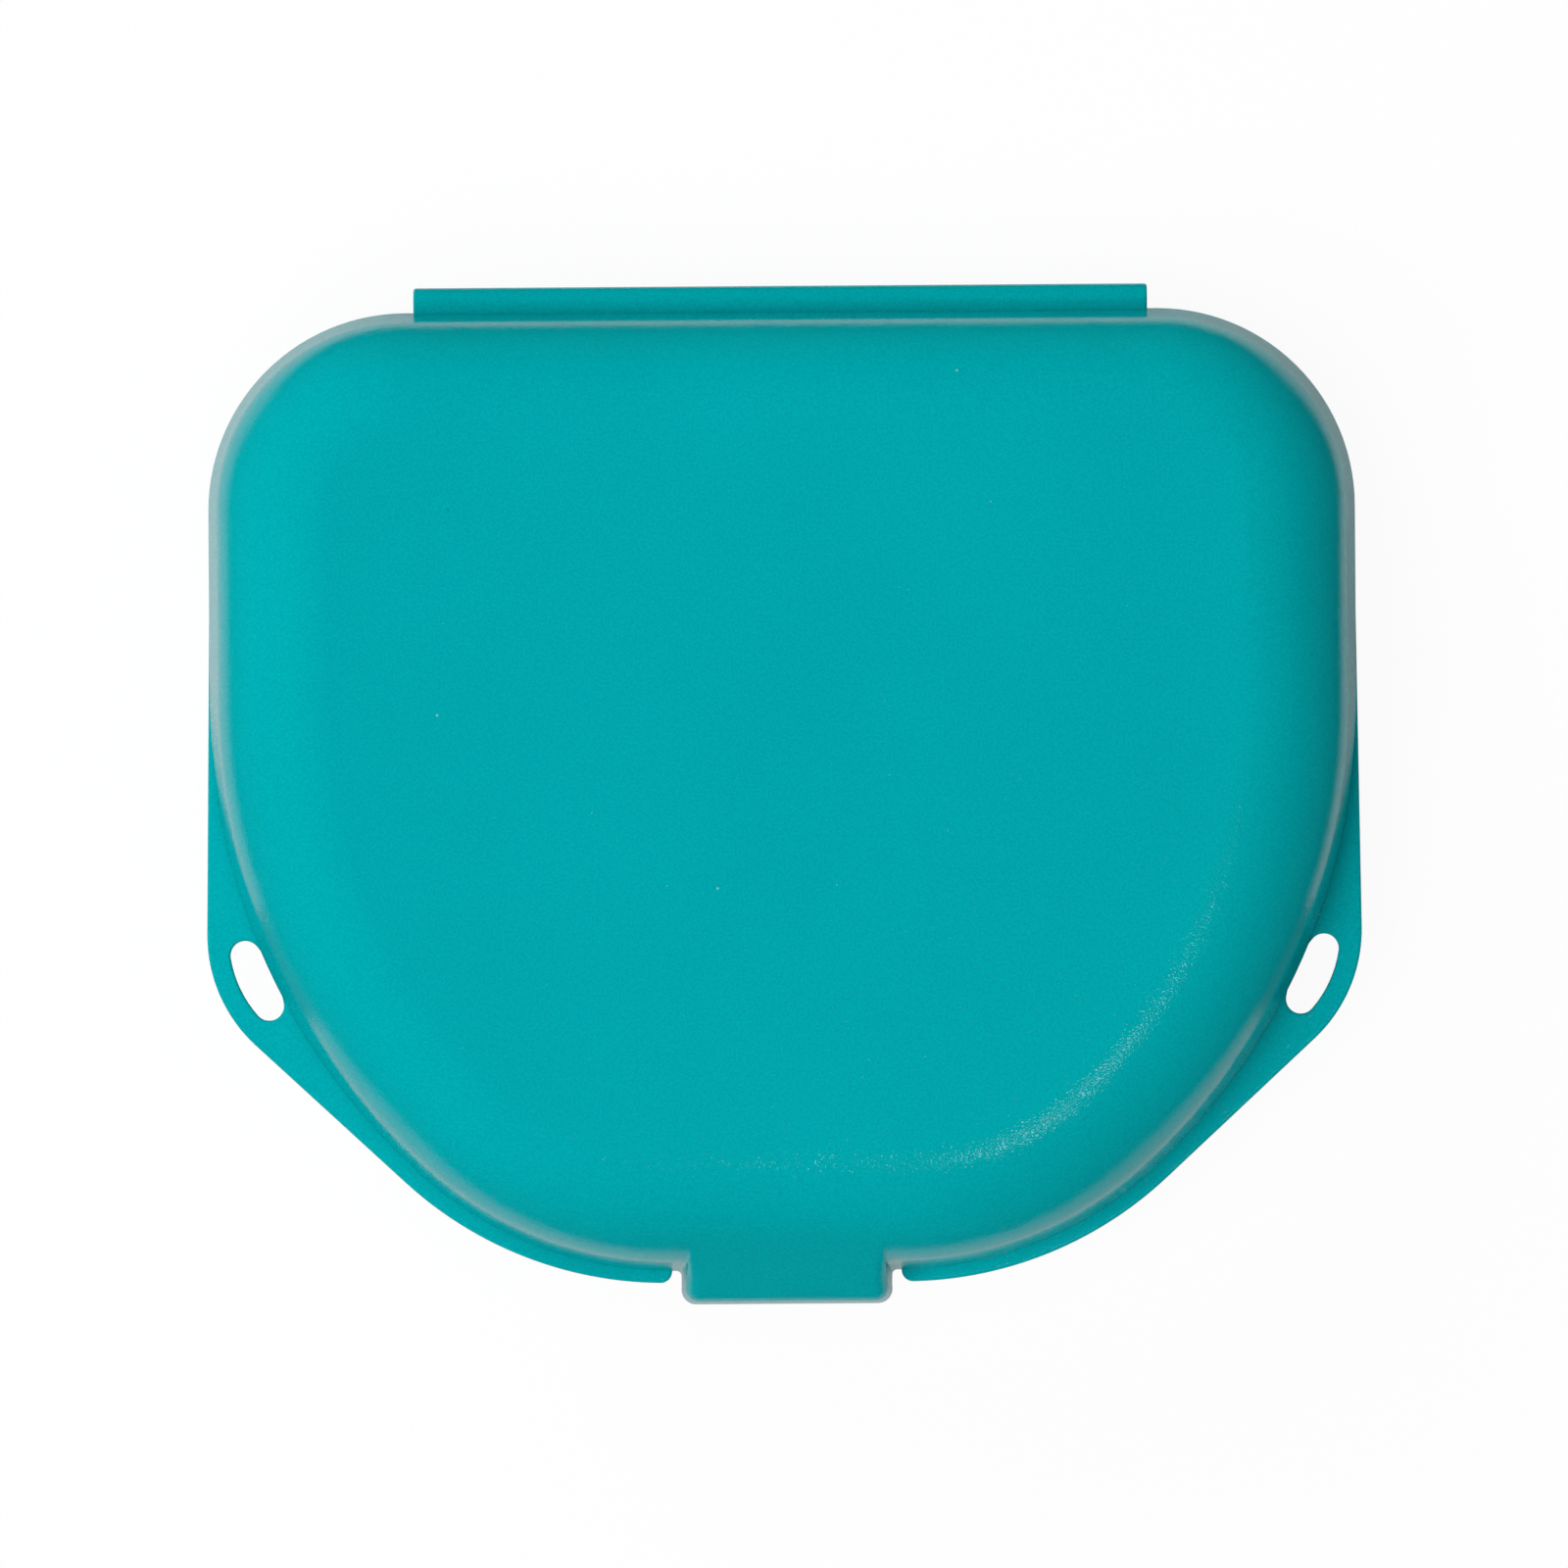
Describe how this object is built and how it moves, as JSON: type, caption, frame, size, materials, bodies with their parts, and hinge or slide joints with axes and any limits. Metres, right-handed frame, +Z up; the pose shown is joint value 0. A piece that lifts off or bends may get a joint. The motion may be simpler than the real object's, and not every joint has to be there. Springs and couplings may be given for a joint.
{
  "type": "retainer case",
  "caption": "D-shaped hinged plastic case for a dental retainer: tray with eared rim flange, domed lid, living hinge along the back and a hooded snap latch at the front.",
  "frame": {"origin": "centre of the case's box, on the surface it stands on", "axes": "+X to the right across the width, +Y to the hinge at the back, +Z up through the lid"},
  "size_m": [0.08, 0.0705, 0.026],
  "materials": {
    "teal_polypropylene": "satin moulded polypropylene"
  },
  "bodies": {
    "base": {"base_tray": "teal_polypropylene", "living_hinge": "teal_polypropylene"},
    "lid": {"lid_shell": "teal_polypropylene"},
    "latch": {"latch_tab": "teal_polypropylene"}
  },
  "joints": [
    {"name": "lid_hinge", "type": "hinge", "parent": "base", "child": "lid", "pos_m": [0, 0.03525, 0.01356], "axis": [-1, 0, 0], "range_deg": [0, 180], "deforming": ["living_hinge"]},
    {"name": "latch_flex", "type": "hinge", "parent": "lid", "child": "latch", "pos_m": [0, -0.03525, 0.01362], "axis": [-1, 0, 0], "range_deg": [0, 16], "stiffness_Nm_per_rad": 0.1}
  ]
}
